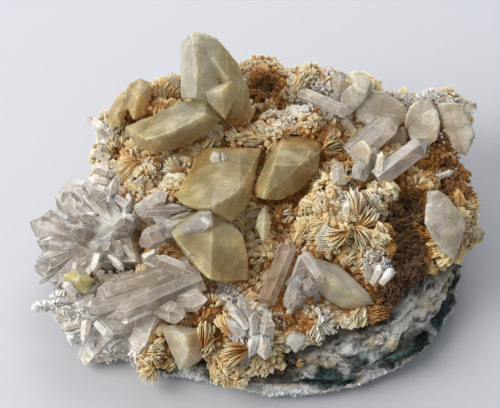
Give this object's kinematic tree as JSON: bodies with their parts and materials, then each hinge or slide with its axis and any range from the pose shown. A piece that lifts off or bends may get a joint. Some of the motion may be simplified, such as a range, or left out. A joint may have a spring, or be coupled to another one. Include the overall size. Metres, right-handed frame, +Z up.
{
  "type": "calcite with quartz mineral specimen",
  "caption": "Cabinet mineral specimen: honey calcite crystals and clear quartz prisms on a crust of bladed calcite rosettes over pale altered rock, resting on a flat base.",
  "frame": {"origin": "on the resting face, under the middle of the specimen's bounding box", "axes": "+X to the right and +Y to the back of the specimen as it is shown, +Z up from the flat base"},
  "size_m": [0.1128, 0.09, 0.047],
  "materials": {
    "honey_calcite": "milky translucent, smooth faces",
    "pale_calcite": "translucent, smooth",
    "clear_quartz": "glassy, faintly rosy",
    "bladed_calcite": "thin cream blades, rusty in the recesses",
    "altered_rock": "rough, broken, banded cream, grey and green"
  },
  "bodies": {
    "root": {"bladed_crust": "bladed_calcite", "bowed_plate_back": "pale_calcite", "calcite_centre_left": "honey_calcite", "calcite_centre_right": "honey_calcite", "calcite_far_left": "honey_calcite", "calcite_front_wedge": "honey_calcite", "calcite_lower_centre": "honey_calcite", "calcite_lower_right": "honey_calcite", "calcite_spindle": "honey_calcite", "calcite_top_group": "honey_calcite", "calcite_upper_left": "honey_calcite", "disc_right": "pale_calcite", "plate_back": "pale_calcite", "plate_right_front": "pale_calcite", "plate_right_rear": "pale_calcite", "quartz_blocks_front_left": "clear_quartz", "quartz_group_lower_right": "clear_quartz", "quartz_prism_back": "clear_quartz", "quartz_prism_leaning": "clear_quartz", "quartz_prism_long": "clear_quartz", "quartz_prism_rear_right": "clear_quartz", "quartz_prism_right": "clear_quartz", "quartz_prism_rosy": "clear_quartz", "quartz_prism_upright": "clear_quartz", "quartz_prisms_centre": "clear_quartz", "quartz_prisms_left": "clear_quartz", "quartz_spray_left": "clear_quartz", "quartz_tip_far_right": "clear_quartz", "quartz_tip_upper_left": "clear_quartz", "rock": "altered_rock"}
  },
  "joints": []
}
